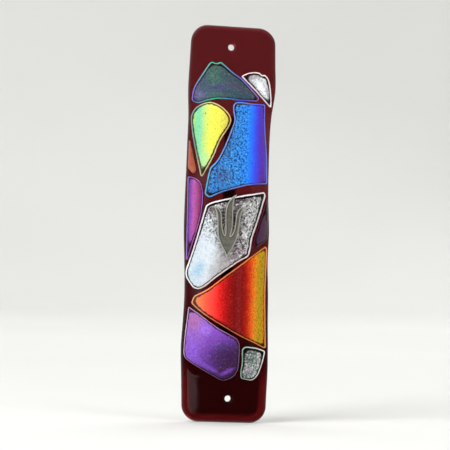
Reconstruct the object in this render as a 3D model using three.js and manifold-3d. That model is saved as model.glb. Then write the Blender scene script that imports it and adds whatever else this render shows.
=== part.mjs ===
// A fused-glass mezuzah case: a red glass strip slumped into a shallow arch, eleven dichroic glass
// tiles fused onto its front, a cast pewter letter shin glued to the middle tile, and behind the
// arch a rolled parchment in a clear film wrap. Two drilled holes take the screws.
//
// Millimetres. The case hangs upright: +Z is up, the front faces -Y, the wall is the plane y = 0,
// and the origin is the middle of the outline on that plane.
import * as THREE from "three";
import { mergeVertices } from "three/addons/utils/BufferGeometryUtils.js";
import Module from "manifold-3d";

const wasm = await Module();
wasm.setup();

// ---------------------------------------------------------------- driving dimensions

const LENGTH = 177.2; // seven inches, nominally
const CORNER_RADIUS = 7.5;
const GLASS_THICKNESS = 4; // two fused sheets
const EDGE_HEIGHT = 1.3; // how far the rounded edge's outermost line stands off the wall
const FRONT_EDGE_RADIUS = 2.6; // fire-polished edge, seen from the front
const BACK_EDGE_RADIUS = 1.2;

// The side edges wander, because the glass flows in the kiln: height, left edge, right edge.
const SIDE_STATIONS = [
  [-90, -18.9, 18.7],
  [-78, -19.2, 18.8],
  [-66, -19.65, 19.15],
  [-55, -20.0, 19.05],
  [-43, -19.4, 18.7],
  [-31, -19.05, 18.5],
  [-16, -19.5, 17.95],
  [-3, -20.05, 18.2],
  [12, -19.95, 17.5],
  [24, -19.7, 17.35],
  [38, -19.5, 17.4],
  [48, -19.35, 17.9],
  [60, -19.75, 19.4],
  [72, -19.4, 19.1],
  [90, -18.7, 18.6],
];
const TOP_SLOPE = 0.04; // the top edge runs down to the right by this much per millimetre
const TOP_SLOPE_FROM = 74; // the slope builds up from this height
const TOP_SLOPE_PIVOT = -2.5; // and leaves the edge's height alone here

const ARCH_RISE = 6.8; // the hollow's depth behind the middle of the strip
const ARCH_TOP_HALF = 7.5; // half-width of the arch's flat top
const ARCH_FLANK = 10; // run of each sloping flank
const ARCH_FULL_HALF = 50; // the arch is full height this far up and down
const ARCH_END_HALF = 68; // and is gone here, where the flat ends begin

const SCREW_HOLES = [
  [-1.0, 79.0],
  [1.5, -77.9],
];
const HOLE_RADIUS = 1.4;
const HOLE_FRONT_LIP = 2.3; // radius of the ground lip on the front face
const HOLE_BACK_LIP = 1.9;
const HOLE_FRONT_LIP_DEPTH = 0.9;
const HOLE_BACK_LIP_DEPTH = 0.5;

const TILE_DOME = 1.6; // how far a tile stands above the strip
const TILE_EDGE = 0.35; // its height where it meets the strip
const TILE_SHOULDER = 2.6; // width of the rounded shoulder inside a tile's outline
const FUSE_GAP = 0.3; // between a tile's underside and the strip
const TILE_EDGE_POINTS = 36;
const TILE_RINGS = [1, 0.95, 0.88, 0.76, 0.56, 0.3]; // outline scaled towards the middle

const EMBLEM_THICKNESS = 1.3;
const EMBLEM_BEVEL = 0.35;
const ADHESIVE_THICKNESS = 0.4;
const CONTACT_GAP = 0.05; // between flat faces that touch

const SCROLL_LENGTH = 96;
const SCROLL_RADIUS = 2.7;
const PARCHMENT = 0.3;
const ROLL_PITCH = 0.5;
const ROLL_TURNS = 3.5;
const WRAP_LENGTH = 98;
const WRAP_RADIUS = 3.1;
const WRAP_WALL = 0.2;
const ROLL_AXIS_Y = -3.35; // the roll hangs between the wall and the hollow's roof

// ---------------------------------------------------------------- finishes

const glass = (color) =>
  new THREE.MeshStandardMaterial({ color, roughness: 0.08, metalness: 0 });
const dichroic = (color) =>
  new THREE.MeshStandardMaterial({ color, roughness: 0.15, metalness: 0.8 });
const redGlass = glass(0x5a1014);
const pewter = new THREE.MeshStandardMaterial({
  color: 0x8d8c84,
  roughness: 0.45,
  metalness: 1,
});
const glue = new THREE.MeshStandardMaterial({ color: 0xc9c6bb, roughness: 0.5 });
const parchment = new THREE.MeshStandardMaterial({ color: 0xe6d8b4, roughness: 0.85 });
const film = new THREE.MeshStandardMaterial({
  color: 0xe8eef0,
  roughness: 0.1,
  transparent: true,
  opacity: 0.35,
});

// Each tile: its finish, and its corners as across, up, and corner radius.
const TILES = {
  tile_teal_peak: {
    color: 0x45606e,
    corners: [
      [-10.4, 71.9, 0.9],
      [-9, 72.5, 0.7],
      [-7.5, 71.6, 1.2],
      [-5.3, 72.6, 0.9],
      [-3.6, 71.2, 1.2],
      [0.4, 67.7, 4],
      [4.4, 65.2, 3],
      [12.4, 56.4, 0.9],
      [11.4, 54.8, 0.8],
      [4.3, 54.8, 3],
      [-5.1, 55.7, 4],
      [-10.1, 54.9, 3],
      [-15.1, 53.3, 1.5],
      [-18.2, 54.6, 1.5],
      [-17.5, 60.6, 3],
    ],
  },
  tile_silver_crest: {
    color: 0xc9ccd0,
    corners: [
      [3.7, 66.1, 0.7],
      [6.2, 67.7, 1.5],
      [10, 68.4, 2],
      [12.2, 68, 0.6],
      [13.2, 66.9, 0.6],
      [14.6, 67.3, 1.2],
      [16.2, 65.4, 1.5],
      [17.2, 62, 3],
      [17.8, 56, 2],
      [17.8, 52.4, 0.6],
      [16.7, 52.7, 0.6],
      [10.8, 59, 4],
    ],
  },
  tile_gold_drop: {
    color: 0xd9df5a,
    corners: [
      [-10.3, 54.5, 2.2],
      [-6.4, 53.5, 2],
      [-3.1, 51.4, 2],
      [-0.6, 48.6, 1.6],
      [0.2, 46.2, 1.2],
      [-0.6, 43.5, 2],
      [-4.7, 37.2, 3],
      [-7.2, 30, 3],
      [-12.2, 20.7, 0.7],
      [-13.1, 21.1, 0.6],
      [-15.5, 30.8, 4],
      [-17.5, 40.1, 4],
      [-18.4, 48.3, 2.5],
      [-15.8, 52.5, 2.5],
    ],
  },
  tile_blue_pane: {
    color: 0x2f7fe0,
    corners: [
      [0.6, 53, 0.8],
      [1.8, 54.4, 0.8],
      [5, 54.5, 2],
      [8.4, 53.9, 2],
      [15, 53.9, 0.8],
      [15.1, 45, 3],
      [16.5, 30, 5],
      [16.9, 18.3, 0.8],
      [8.4, 17.6, 4],
      [-3.5, 14.1, 4],
      [-8.9, 11.4, 0.9],
      [-11.2, 13.2, 0.9],
      [-9.7, 22, 2],
      [-8.8, 25.2, 1],
      [-6.2, 27.6, 2],
      [-3.6, 32.4, 3],
      [-0.9, 39.5, 3],
      [1.5, 46.2, 2],
      [0.5, 50.4, 1.8],
    ],
  },
  tile_copper_sliver: {
    color: 0xa9513f,
    corners: [
      [-18.8, 37, 0.4],
      [-18, 37, 0.3],
      [-15.9, 28, 2],
      [-15, 23.4, 1],
      [-16.4, 21.9, 1],
      [-18.9, 24.6, 1.2],
    ],
  },
  tile_magenta_crescent: {
    color: 0xb04fb4,
    corners: [
      [-18.9, 21, 0.8],
      [-16.5, 20.9, 1.5],
      [-13.1, 19, 2],
      [-11.5, 14.5, 3],
      [-11.9, 6, 4],
      [-13.3, -0.6, 3],
      [-17.9, -16.4, 0.7],
      [-18.7, -16.6, 0.3],
    ],
  },
  tile_silver_diamond: {
    color: 0xd2d4d8,
    corners: [
      [-10.4, 8.3, 1.3],
      [-7.4, 9.9, 1.5],
      [-1.4, 11.4, 2],
      [5, 12.9, 3],
      [15.6, 14.9, 0.9],
      [16.4, 13.3, 0.8],
      [13.1, 1.2, 4],
      [10.6, -6.1, 3],
      [10.2, -10.5, 2],
      [9.4, -14.1, 1.2],
      [5.2, -16.4, 2],
      [-5.1, -23.9, 4],
      [-9.5, -27.9, 2],
      [-12.6, -29.5, 1.2],
      [-15.2, -28.9, 1.4],
      [-18.7, -24, 1.6],
      [-18.8, -21, 1.2],
      [-15.4, -10.5, 4],
    ],
  },
  tile_plum_sliver: {
    color: 0x5a2a5a,
    corners: [
      [17, 12.6, 0.6],
      [17.7, 4, 4],
      [17.6, -6.6, 1.2],
      [12, -10.8, 0.8],
      [11.4, -7.2, 1.2],
    ],
  },
  tile_flame_wedge: {
    color: 0xc22a1c,
    corners: [
      [16.8, -9.2, 0.8],
      [17.6, -10.6, 0.6],
      [17.2, -30, 6],
      [18.1, -54.8, 0.5],
      [17, -55, 0.5],
      [11.8, -52.2, 3],
      [5.5, -49.3, 3],
      [-6.4, -42.6, 4],
      [-12.6, -38.6, 3],
      [-16, -35.6, 1],
      [-14.8, -32.2, 1.4],
      [-8.9, -29.2, 4],
      [0, -22, 4],
      [6, -17.5, 3],
      [11.1, -13.3, 3],
    ],
  },
  tile_violet_pane: {
    color: 0x8a50c8,
    corners: [
      [-17, -37, 0.8],
      [-10.8, -40.9, 4],
      [-4.5, -45.5, 4],
      [0, -47.9, 3],
      [5.2, -50.6, 1.2],
      [6.3, -52.7, 1.5],
      [6.5, -58.8, 4],
      [6, -65.2, 2],
      [3.6, -68.6, 2],
      [-1.1, -70.1, 1.5],
      [-5.1, -68, 3],
      [-12.6, -63.9, 4],
      [-17.6, -60.7, 1.5],
      [-18.8, -58.5, 1.5],
      [-18.4, -50, 4],
    ],
  },
  tile_silver_pebble: {
    color: 0xa9b0b0,
    corners: [
      [7.2, -55.4, 0.8],
      [8.2, -54.4, 0.6],
      [9.6, -54, 0.8],
      [14, -54.6, 1.4],
      [17.9, -56, 0.9],
      [17, -61, 3],
      [14.8, -67.4, 1.6],
      [12.2, -69.7, 1.4],
      [7, -68.8, 1.2],
      [6.9, -65, 1],
      [7.5, -61.5, 1.5],
    ],
  },
};

// ---------------------------------------------------------------- solids

// A closed geometry as a solid that can be cut, and a solid as a geometry again.
function solidOf(geometry) {
  const bare = geometry.clone();
  bare.deleteAttribute("normal");
  bare.deleteAttribute("uv");
  const merged = mergeVertices(bare, 1e-4);
  return new wasm.Manifold(
    new wasm.Mesh({
      numProp: 3,
      vertProperties: merged.attributes.position.array,
      triVerts: new Uint32Array(merged.index.array),
    }),
  );
}

function geometryOf(solid) {
  const { vertProperties, triVerts } = solid.getMesh();
  return new THREE.BufferGeometry()
    .setAttribute("position", new THREE.BufferAttribute(vertProperties, 3))
    .setIndex(new THREE.BufferAttribute(triVerts, 1));
}

// Rows of points joined into a skin of triangles. flip turns its faces round.
function addSkin(triangles, rows, flip) {
  for (let i = 0; i + 1 < rows.length; i++) {
    for (let j = 0; j + 1 < rows[i].length; j++) {
      const corners = [rows[i][j], rows[i + 1][j], rows[i + 1][j + 1], rows[i][j + 1]];
      if (flip) corners.reverse();
      const [a, b, c, d] = corners;
      triangles.push(a, b, c, a, c, d);
    }
  }
}

// Triangle corners as a geometry without the triangles that have no area.
function geometryOfTriangles(triangles) {
  const kept = [];
  const same = (p, q) => p.distanceToSquared(q) < 1e-10;
  for (let i = 0; i < triangles.length; i += 3) {
    const [a, b, c] = triangles.slice(i, i + 3);
    if (!same(a, b) && !same(b, c) && !same(a, c)) kept.push(a, b, c);
  }
  const flat = kept.flatMap((p) => [p.x, p.y, p.z]);
  return mergeVertices(
    new THREE.BufferGeometry().setAttribute(
      "position",
      new THREE.Float32BufferAttribute(flat, 3),
    ),
    1e-4,
  );
}

// ---------------------------------------------------------------- the strip's shape

// The side edge at height z, by a cubic through the stations. side is 1 for left, 2 for right.
function sideEdge(z, side) {
  const last = SIDE_STATIONS.length - 1;
  const upper = SIDE_STATIONS.findIndex(([height]) => height >= z);
  const k = Math.min(Math.max(upper, 1), last);
  const at = (i) => SIDE_STATIONS[Math.min(Math.max(i, 0), last)];
  const [p0, p1, p2, p3] = [at(k - 2), at(k - 1), at(k), at(k + 1)];
  const span = p2[0] - p1[0];
  const t = (z - p1[0]) / span;
  const slope1 = ((p2[side] - p0[side]) / (p2[0] - p0[0])) * span;
  const slope2 = ((p3[side] - p1[side]) / (p3[0] - p1[0])) * span;
  return (
    (2 * t ** 3 - 3 * t ** 2 + 1) * p1[side] +
    (t ** 3 - 2 * t ** 2 + t) * slope1 +
    (3 * t ** 2 - 2 * t ** 3) * p2[side] +
    (t ** 3 - t ** 2) * slope2
  );
}

// How much the rounded corners take off each side at height z.
function cornerInset(z) {
  const past = Math.abs(z) - (LENGTH / 2 - CORNER_RADIUS);
  return past <= 0 ? 0 : CORNER_RADIUS - Math.sqrt(CORNER_RADIUS ** 2 - past ** 2);
}

// Distance in from the outline, as seen from the front.
function edgeDistance(x, z) {
  const side = Math.min(x - sideEdge(z, 1), sideEdge(z, 2) - x);
  const end = LENGTH / 2 - Math.abs(z);
  if (side < CORNER_RADIUS && end < CORNER_RADIUS) {
    return CORNER_RADIUS - Math.hypot(CORNER_RADIUS - side, CORNER_RADIUS - end);
  }
  return Math.min(side, end);
}

// A quarter-round from 0 at the edge to 1 at the radius and beyond.
function quarterRound(distance, radius) {
  const left = 1 - Math.min(Math.max(distance / radius, 0), 1);
  return Math.sqrt(Math.max(0, 1 - left ** 2));
}

// How far the slumped glass stands off the wall: a flat-topped arch that fades at both ends.
function archHeight(x, z) {
  const across = THREE.MathUtils.smoothstep(
    Math.abs(x),
    ARCH_TOP_HALF,
    ARCH_TOP_HALF + ARCH_FLANK,
  );
  const along = THREE.MathUtils.smoothstep(Math.abs(z), ARCH_FULL_HALF, ARCH_END_HALF);
  return ARCH_RISE * (1 - across) * (1 - along);
}

function frontY(x, z) {
  const round = quarterRound(edgeDistance(x, z), FRONT_EDGE_RADIUS);
  return -archHeight(x, z) - EDGE_HEIGHT - (GLASS_THICKNESS - EDGE_HEIGHT) * round;
}

function backY(x, z) {
  const round = quarterRound(edgeDistance(x, z), BACK_EDGE_RADIUS);
  return -archHeight(x, z) - EDGE_HEIGHT * (1 - round);
}

// The top edge isn't quite square: heights near it drop a little from left to right.
function slopedHeight(x, z) {
  const share = THREE.MathUtils.smoothstep(z, TOP_SLOPE_FROM, LENGTH / 2);
  return z - TOP_SLOPE * (x - TOP_SLOPE_PIVOT) * share;
}

// Heights to cut sections at: close together at the corners and where the arch fades.
function sectionHeights() {
  const corner = [90, 75, 60, 45, 30, 15, 0].map(
    (degrees) =>
      LENGTH / 2 - CORNER_RADIUS * (1 - Math.sin(THREE.MathUtils.degToRad(degrees))),
  );
  const fade = [75, 68, 65, 62, 59, 56, 53, 50];
  const middle = [45, 39, 33, 27, 20, 13, 7];
  const upper = [...corner, ...fade, ...middle];
  return [...upper, 0, ...upper.map((z) => -z).reverse()];
}

function baseGlass() {
  const halfColumns = [1, 0.986, 0.957, 0.915, 0.86, 0.78, 0.69, 0.6, 0.51, 0.43, 0.2];
  const columns = [...halfColumns.map((u) => -u), 0, ...halfColumns.reverse()];
  const rows = (heightOf) =>
    sectionHeights().map((z) => {
      const left = sideEdge(z, 1) + cornerInset(z);
      const right = sideEdge(z, 2) - cornerInset(z);
      return columns.map((u) => {
        const x = (left + right) / 2 + (u * (right - left)) / 2;
        const rim = Math.abs(u) === 1 || Math.abs(z) === LENGTH / 2;
        const y = rim ? -archHeight(x, z) - EDGE_HEIGHT : heightOf(x, z);
        return new THREE.Vector3(x, y, slopedHeight(x, z));
      });
    });
  const triangles = [];
  addSkin(triangles, rows(frontY), false);
  addSkin(triangles, rows(backY), true);
  return SCREW_HOLES.reduce(
    (strip, [x, z]) => strip.subtract(holeCutter(x, z)),
    solidOf(geometryOfTriangles(triangles)),
  );
}

// What the drill and the lip grinding take away, lying along Y.
function holeCutter(x, z) {
  const beyond = 1;
  const profile = [
    [0, -GLASS_THICKNESS - beyond],
    [HOLE_FRONT_LIP, -GLASS_THICKNESS - beyond],
    [HOLE_FRONT_LIP, -GLASS_THICKNESS],
    [HOLE_RADIUS, -GLASS_THICKNESS + HOLE_FRONT_LIP_DEPTH],
    [HOLE_RADIUS, -HOLE_BACK_LIP_DEPTH],
    [HOLE_BACK_LIP, 0],
    [HOLE_BACK_LIP, beyond],
    [0, beyond],
  ].map(([radius, y]) => new THREE.Vector2(radius, y));
  return solidOf(new THREE.LatheGeometry(profile, 20).translate(x, 0, z));
}

// ---------------------------------------------------------------- the tiles

// A polygon with rounded corners as evenly spaced points.
function roundedOutline(corners, count) {
  const shape = new THREE.Shape();
  const point = (i) => new THREE.Vector2(...corners[(i + corners.length) % corners.length]);
  corners.forEach(([, , radius], i) => {
    const corner = point(i);
    const toNeighbour = (neighbour) => {
      const way = neighbour.clone().sub(corner);
      return corner.clone().add(way.setLength(Math.min(radius, way.length() / 2)));
    };
    const start = toNeighbour(point(i - 1));
    const end = toNeighbour(point(i + 1));
    if (i === 0) shape.moveTo(start.x, start.y);
    else shape.lineTo(start.x, start.y);
    shape.quadraticCurveTo(corner.x, corner.y, end.x, end.y);
  });
  shape.closePath();
  const points = shape.getSpacedPoints(count).slice(0, count);
  return THREE.ShapeUtils.isClockWise(points) ? points.reverse() : points;
}

function distanceToOutline(point, outline) {
  const nearest = new THREE.Vector3();
  const at = new THREE.Vector3(point.x, point.y, 0);
  return Math.min(
    ...outline.map((start, i) => {
      const end = outline[(i + 1) % outline.length];
      new THREE.Line3(
        new THREE.Vector3(start.x, start.y, 0),
        new THREE.Vector3(end.x, end.y, 0),
      ).closestPointToPoint(at, true, nearest);
      return nearest.distanceTo(at);
    }),
  );
}

// A domed tile that follows the strip's front, with the strip taken out from under it.
function tile(corners, strip) {
  const outline = roundedOutline(corners, TILE_EDGE_POINTS);
  const middle = outline
    .reduce((sum, p) => sum.add(p), new THREE.Vector2())
    .divideScalar(outline.length);
  const sunk = 1.2; // the rough underside lies this deep in the strip before the cut
  const ringOf = (scale, heightOf) =>
    [...outline, outline[0]].map((p) => {
      const at = middle.clone().lerp(p, scale);
      const inward = scale === 1 ? 0 : distanceToOutline(at, outline);
      return new THREE.Vector3(at.x, frontY(at.x, at.y) + heightOf(inward), at.y);
    });
  const top = (inward) =>
    -FUSE_GAP -
    TILE_EDGE -
    (TILE_DOME - TILE_EDGE) * quarterRound(inward, TILE_SHOULDER);
  const under = () => sunk;
  const scales = [...TILE_RINGS, 0];
  const triangles = [];
  addSkin(triangles, scales.map((s) => ringOf(s, top)), true);
  addSkin(triangles, [ringOf(1, top), ringOf(1, under)], false);
  addSkin(triangles, scales.map((s) => ringOf(s, under)), false);
  const block = solidOf(geometryOfTriangles(triangles));
  return block.subtract(strip.translate([0, -FUSE_GAP, 0]));
}

// ---------------------------------------------------------------- the letter

// Turns a shape drawn in x and z so that its thickness runs out of the front.
function frontExtrusion(shape, options, backFaceY) {
  return new THREE.ExtrudeGeometry(shape, options)
    .rotateX(Math.PI / 2)
    .translate(0, backFaceY, 0);
}

// The flat face that the middle tile offers the letter.
const EMBLEM_SEAT_Y = -(ARCH_RISE + GLASS_THICKNESS + FUSE_GAP + TILE_DOME);

function emblemShape() {
  const letter = new THREE.Shape();
  letter.moveTo(-0.4, -15.2);
  letter.bezierCurveTo(-1.4, -11.5, -4.6, -8.5, -4.9, -3.5);
  letter.bezierCurveTo(-5.3, 0.5, -4.4, 5.4, -7.2, 7.8);
  letter.bezierCurveTo(-3.0, 8.2, -2.9, 3.5, -2.9, 1.0);
  letter.bezierCurveTo(-2.8, -1.5, -2.2, -3.4, -1.6, -4.8);
  letter.bezierCurveTo(-1.0, -1.5, -2.0, 2.5, -1.5, 6.0);
  letter.bezierCurveTo(-1.0, 9.5, 0.8, 12.4, 3.4, 13.3);
  letter.bezierCurveTo(1.6, 10.5, 1.9, 7.5, 2.0, 4.0);
  letter.bezierCurveTo(2.1, 0.5, 1.8, -2.8, 0.9, -5.2);
  letter.bezierCurveTo(2.6, -3.6, 2.8, -0.5, 3.0, 2.5);
  letter.bezierCurveTo(3.3, 6.2, 4.6, 8.2, 7.3, 8.2);
  letter.bezierCurveTo(5.0, 5.6, 5.3, 1.5, 4.6, -3.0);
  letter.bezierCurveTo(4.0, -8.5, 1.0, -11.5, -0.4, -15.2);
  return letter;
}

function emblem() {
  const backFace = EMBLEM_SEAT_Y - 2 * CONTACT_GAP - ADHESIVE_THICKNESS;
  return frontExtrusion(
    emblemShape(),
    {
      depth: EMBLEM_THICKNESS - EMBLEM_BEVEL,
      curveSegments: 6,
      bevelThickness: EMBLEM_BEVEL / 2,
      bevelSize: EMBLEM_BEVEL / 2,
      bevelOffset: -EMBLEM_BEVEL / 2,
      bevelSegments: 1,
    },
    backFace - EMBLEM_BEVEL / 2,
  );
}

// The bead of clear glue under the letter's body.
function emblemAdhesive() {
  const bead = new THREE.Shape();
  bead.absellipse(0, -4.5, 2.4, 6, 0, 2 * Math.PI);
  return frontExtrusion(
    bead,
    { depth: ADHESIVE_THICKNESS, curveSegments: 14, bevelEnabled: false },
    EMBLEM_SEAT_Y - CONTACT_GAP,
  );
}

// ---------------------------------------------------------------- the scroll

// The rolled sheet seen end on: a spiral that is one parchment thick.
function scroll() {
  const steps = 14; // in each turn
  const count = Math.round(steps * ROLL_TURNS);
  const spiral = (radius0) =>
    Array.from({ length: count + 1 }, (_, i) => {
      const turns = i / steps;
      const radius = radius0 - ROLL_PITCH * turns;
      const angle = 2 * Math.PI * turns;
      return new THREE.Vector2(radius * Math.cos(angle), radius * Math.sin(angle));
    });
  const outer = spiral(SCROLL_RADIUS);
  const inner = spiral(SCROLL_RADIUS - PARCHMENT).reverse();
  return new THREE.ExtrudeGeometry(new THREE.Shape([...outer, ...inner]), {
    depth: SCROLL_LENGTH,
    bevelEnabled: false,
  }).translate(0, ROLL_AXIS_Y, -SCROLL_LENGTH / 2);
}

// The clear film rolled round the parchment, open at both ends.
function scrollWrap() {
  const half = WRAP_LENGTH / 2;
  const inner = WRAP_RADIUS - WRAP_WALL;
  const wall = [
    [inner, -half],
    [WRAP_RADIUS, -half],
    [WRAP_RADIUS, half],
    [inner, half],
    [inner, -half],
  ].map(([radius, y]) => new THREE.Vector2(radius, y));
  return new THREE.LatheGeometry(wall, 24)
    .rotateX(Math.PI / 2)
    .translate(0, ROLL_AXIS_Y, 0);
}

// ---------------------------------------------------------------- assembly

const mezuzahCase = new THREE.Group();

function addPiece(name, geometry, material) {
  const mesh = new THREE.Mesh(geometry, material);
  mesh.name = name;
  mezuzahCase.add(mesh);
}

const strip = baseGlass();
addPiece("base_glass", geometryOf(strip), redGlass);
for (const [name, { color, corners }] of Object.entries(TILES)) {
  addPiece(name, geometryOf(tile(corners, strip)), dichroic(color));
}
addPiece("shin_emblem", emblem(), pewter);
addPiece("emblem_adhesive", emblemAdhesive(), glue);
addPiece("scroll_parchment", scroll(), parchment);
addPiece("scroll_wrap", scrollWrap(), film);

export default mezuzahCase;
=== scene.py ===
# %% [markdown]
# # A mezuzah case in fused glass
#
# The real case is a strip of deep red glass with eleven pieces of coloured dichroic glass fused to its
# front. A kiln has rounded every edge and let the middle of the strip slump over a mould, so it stands
# off the wall as an arch. A pewter letter is glued to the middle tile, and a rolled parchment lies in the
# hollow behind. The frame holds the exact places of all of that. This lesson builds the surfaces and
# finishes around it.

# %% Load the frame
import math

import bpy
import numpy as np
from mathutils import Matrix, Vector, noise


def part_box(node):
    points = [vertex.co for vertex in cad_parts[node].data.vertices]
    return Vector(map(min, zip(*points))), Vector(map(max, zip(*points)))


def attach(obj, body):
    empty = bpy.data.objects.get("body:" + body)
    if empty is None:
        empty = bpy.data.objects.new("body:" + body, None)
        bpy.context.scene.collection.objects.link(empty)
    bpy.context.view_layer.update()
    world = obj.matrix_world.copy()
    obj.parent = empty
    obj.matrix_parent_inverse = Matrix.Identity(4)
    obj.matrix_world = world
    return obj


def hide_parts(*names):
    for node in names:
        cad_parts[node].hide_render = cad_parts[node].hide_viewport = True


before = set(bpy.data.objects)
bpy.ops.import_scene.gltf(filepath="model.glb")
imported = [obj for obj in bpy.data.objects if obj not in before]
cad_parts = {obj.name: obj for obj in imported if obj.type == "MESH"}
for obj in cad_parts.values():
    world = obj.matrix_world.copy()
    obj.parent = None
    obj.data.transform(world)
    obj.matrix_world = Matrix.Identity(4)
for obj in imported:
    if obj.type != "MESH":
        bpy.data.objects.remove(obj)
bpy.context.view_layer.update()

MM = 0.001
strip_low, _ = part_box("base_glass")

# %% [markdown]
# ## Camera first
#
# A long lens from far away keeps the strip's long edges parallel, as in a catalogue. The camera looks
# straight at the front, and is rolled a little, so that the case stands slightly off square in the view.

# %% Camera
FRAME_WIDTH = 0.2007  # what the view takes in, side to side, at the plane below
CAMERA_DISTANCE = 1.1
SENSOR = 0.036
ROLL = math.radians(1.5)
CENTRE_RIGHT = 0.0016  # the case's middle lies this far right of the view's middle
CENTRE_UP = 0.0004  # and this far above it
FRONT_PLANE = -0.005  # the depth at which the framing is exact

camera_data = bpy.data.cameras.new("camera")
camera_data.sensor_width = SENSOR / MM
camera_data.lens = SENSOR / MM * CAMERA_DISTANCE / FRAME_WIDTH
camera = bpy.data.objects.new("camera", camera_data)
bpy.context.scene.collection.objects.link(camera)
aim = Matrix.Rotation(ROLL, 4, "Y") @ Vector((-CENTRE_RIGHT, 0, -CENTRE_UP))
camera.matrix_world = (
    Matrix.Translation((aim.x, FRONT_PLANE - CAMERA_DISTANCE, aim.z))
    @ Matrix.Rotation(-ROLL, 4, "Y")
    @ Matrix.Rotation(math.pi / 2, 4, "X")
)
bpy.context.scene.camera = camera
bpy.context.scene.view_settings.view_transform = "Standard"
print("lens in mm:", round(camera_data.lens, 1))

# %% [markdown]
# ## Small tools
#
# Operators act on whatever is selected, so every step starts by deselecting everything and selecting one
# object. A few more helpers put a numpy array of millimetre points into a mesh and apply a modifier.


# %% Helpers for meshes
def only(piece):
    bpy.ops.object.select_all(action="DESELECT")
    piece.select_set(True)
    bpy.context.view_layer.objects.active = piece


def points_of(piece):
    points = np.empty(len(piece.data.vertices) * 3)
    piece.data.vertices.foreach_get("co", points)
    return points.reshape(-1, 3) / MM


def move_points(piece, x, y, z):
    points = np.stack(np.broadcast_arrays(x, y, z), axis=-1) * MM
    piece.data.vertices.foreach_set("co", points.ravel())
    piece.data.update()


def finish_modifier(piece, kind, **settings):
    only(piece)
    modifier = piece.modifiers.new(kind.title(), kind)
    for name, value in settings.items():
        setattr(modifier, name, value)
    bpy.ops.object.modifier_apply(modifier=modifier.name)


def close_up(piece, gap=0.001):
    """Merges doubled points and turns all faces outwards."""
    only(piece)
    bpy.ops.object.mode_set(mode="EDIT")
    bpy.ops.mesh.select_all(action="SELECT")
    bpy.ops.mesh.remove_doubles(threshold=gap * MM)
    bpy.ops.mesh.normals_make_consistent(inside=False)
    bpy.ops.object.mode_set(mode="OBJECT")


def keep_distance(piece, name, distances):
    """Stores a distance at each point of the mesh, for a finish to read."""
    piece.data.attributes.new(name, "FLOAT", "POINT").data.foreach_set("value", distances)


def settle(piece, name, body, node, material, sharp=math.pi):
    """Names the finished piece, gives it its finish, hangs it on its body and hides the frame's part it
    replaces.
    """
    only(piece)
    bpy.ops.object.transform_apply(location=True, rotation=True, scale=True)
    bpy.ops.object.shade_smooth_by_angle(angle=sharp)
    piece.name = name
    piece.data.name = name
    piece.data.materials.clear()
    piece.data.materials.append(material)
    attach(piece, body)
    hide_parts(node)
    print(name, len(piece.data.polygons), "faces")


# %% [markdown]
# A finish is a small network of nodes round a Principled shader. One function adds any node with its
# settings and links. The others name the few steps that each finish here repeats: a ramp of colours, a
# mix, a sum, a soft step from one value to another, and soft noise of a known size in millimetres.


# %% Helpers for materials
def srgb(code):
    """A hex colour as linear red, green, blue and alpha."""
    parts = [int(code[i : i + 2], 16) / 255 for i in (1, 3, 5)]
    return [c / 12.92 if c <= 0.04045 else ((c + 0.055) / 1.055) ** 2.4 for c in parts] + [1.0]


def add_node(tree, kind, inputs=None, **settings):
    """A node with its settings; each input is a value, or another node's output to link."""
    node = tree.nodes.new(kind)
    for name, value in settings.items():
        setattr(node, name, value)
    for key, value in (inputs or {}).items():
        if isinstance(value, bpy.types.NodeSocket):
            tree.links.new(value, node.inputs[key])
        else:
            node.inputs[key].default_value = value
    return node


def add_ramp(tree, position, stops):
    """Colours along a line: stops are (position from 0 to 1, hex colour)."""
    ramp = add_node(tree, "ShaderNodeValToRGB", {"Fac": position})
    elements = ramp.color_ramp.elements
    while len(elements) < len(stops):
        elements.new(0.5)
    for element, (place, code) in zip(elements, sorted(stops)):
        element.position = place
        element.color = srgb(code)
    return ramp.outputs["Color"]


def add_mix(tree, share, below, above, blend="MIX"):
    mix = add_node(tree, "ShaderNodeMix", data_type="RGBA", blend_type=blend)
    for key, value in ((0, share), (6, below), (7, above)):
        if isinstance(value, bpy.types.NodeSocket):
            tree.links.new(value, mix.inputs[key])
        else:
            mix.inputs[key].default_value = value
    return mix.outputs[2]


def add_math(tree, operation, first, second=0.0):
    return add_node(tree, "ShaderNodeMath", {0: first, 1: second}, operation=operation).outputs[0]


def add_range(tree, value, low, high, low_to=0.0, high_to=1.0):
    """Maps low..high smoothly to low_to..high_to."""
    inputs = {"Value": value, "From Min": low, "From Max": high, "To Min": low_to, "To Max": high_to}
    node = add_node(tree, "ShaderNodeMapRange", inputs, interpolation_type="SMOOTHSTEP")
    return node.outputs["Result"]


def new_finish(name):
    """An empty material with a Principled shader. Returns the material, its tree and the shader."""
    material = bpy.data.materials.new(name)
    material.use_nodes = True
    tree = material.node_tree
    return material, tree, tree.nodes["Principled BSDF"]


def grain(tree, size_mm, detail=2.0, roughness=0.5, stretch=(1, 1, 1)):
    """Soft noise whose lumps are about size_mm across, in object space."""
    coordinate = add_node(tree, "ShaderNodeTexCoord").outputs["Object"]
    mapping = add_node(tree, "ShaderNodeMapping", {"Vector": coordinate, "Scale": stretch})
    inputs = {
        "Vector": mapping.outputs["Vector"],
        "Scale": 1 / (size_mm * MM),
        "Detail": detail,
        "Roughness": roughness,
    }
    return add_node(tree, "ShaderNodeTexNoise", inputs).outputs["Fac"]


# %% [markdown]
# ## The strip of red glass
#
# Two sheets of glass are fused, the corners are ground round, and the blank slumps over a mould: the ends
# lie flat on the wall and the middle becomes an arch. The heat leaves all edges rounded. One grid of
# faces can take that shape if each of its points is moved by a formula, so a front and a back sheet are
# made that way and joined along their common rim.

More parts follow.
